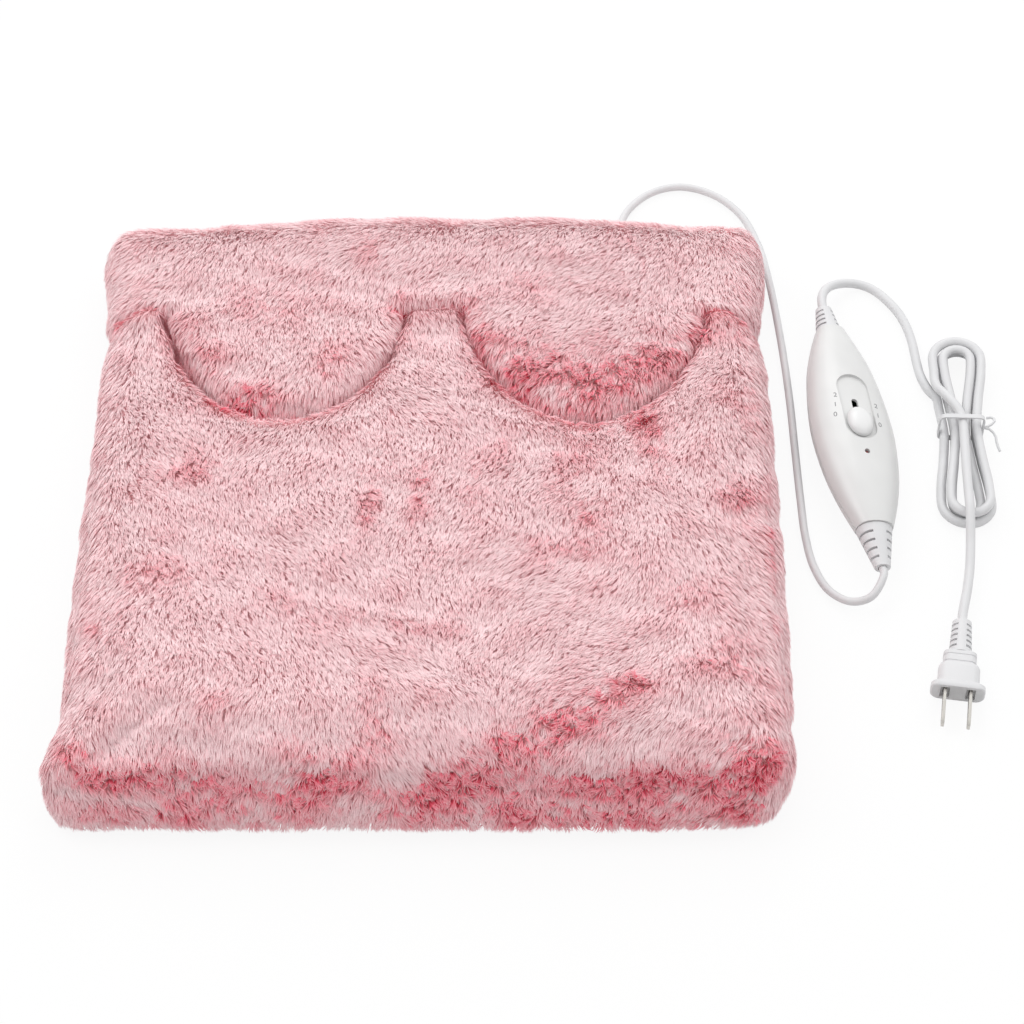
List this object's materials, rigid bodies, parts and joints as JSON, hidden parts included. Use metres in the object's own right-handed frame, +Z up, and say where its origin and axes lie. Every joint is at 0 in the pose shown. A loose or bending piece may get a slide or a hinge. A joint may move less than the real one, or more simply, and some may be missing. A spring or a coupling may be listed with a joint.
{
  "type": "electric foot warmer",
  "caption": "Plush electric foot warmer pad with a padded foot pocket, its in-line controller with a slide switch, a bundled mains lead and a flat plug.",
  "frame": {"origin": "centre of the pad at its underside, on the floor that it lies on", "axes": "+Z up; +Y from the toe end of the pad, nearest the viewer, to its band, where the lead leaves; +X to the right, towards the controller"},
  "size_m": [0.4773, 0.4241, 0.0518],
  "materials": {
    "plush": "long pile plush, pale tips over deep pink roots",
    "lining": "short pile",
    "underside_fabric": "plain woven",
    "padding": "lofted polyester wadding",
    "felt": "needled felt",
    "wire_insulation": "smooth silicone",
    "thermostat_case": "moulded",
    "junction_plastic": "moulded",
    "bare_metal": "plated",
    "cord_sheath": "smooth satin",
    "white_shell": "gloss moulded",
    "black_plastic": "moulded",
    "board": "solder resist",
    "led_red": "tinted clear lens",
    "tie_plastic": "plastic over wire",
    "blade_metal": "bright plated"
  },
  "bodies": {
    "warmer": {"underside_cover": "underside_fabric", "base_padding": "padding", "heating_sheet": "felt", "heating_wire": "wire_insulation", "thermostat": "thermostat_case", "thermal_fuse": "bare_metal", "lead_junction": "junction_plastic", "base_plush": "plush", "upper_cover": "plush", "upper_wadding": "padding", "pocket_lining": "lining", "lead_sleeve": "cord_sheath", "controller_top_shell": "white_shell", "controller_bottom_shell": "white_shell", "slide_switch": "black_plastic", "circuit_board": "board", "indicator_led": "led_red", "screw_1": "bare_metal", "screw_2": "bare_metal", "heater_relief": "cord_sheath", "mains_relief": "cord_sheath", "mains_hank": "cord_sheath", "twist_tie": "tie_plastic", "plug_body": "cord_sheath", "blade_left": "blade_metal", "blade_right": "blade_metal", "heater_lead": "cord_sheath", "mains_lead_near": "cord_sheath", "mains_lead_far": "cord_sheath"},
    "knob": {"slide_knob": "white_shell", "switch_slider": "black_plastic"}
  },
  "joints": [
    {"name": "knob_slide", "type": "slide", "parent": "warmer", "child": "knob", "axis": [-0.1063, 0.9943, 0], "range_m": [0, 0.013]}
  ]
}
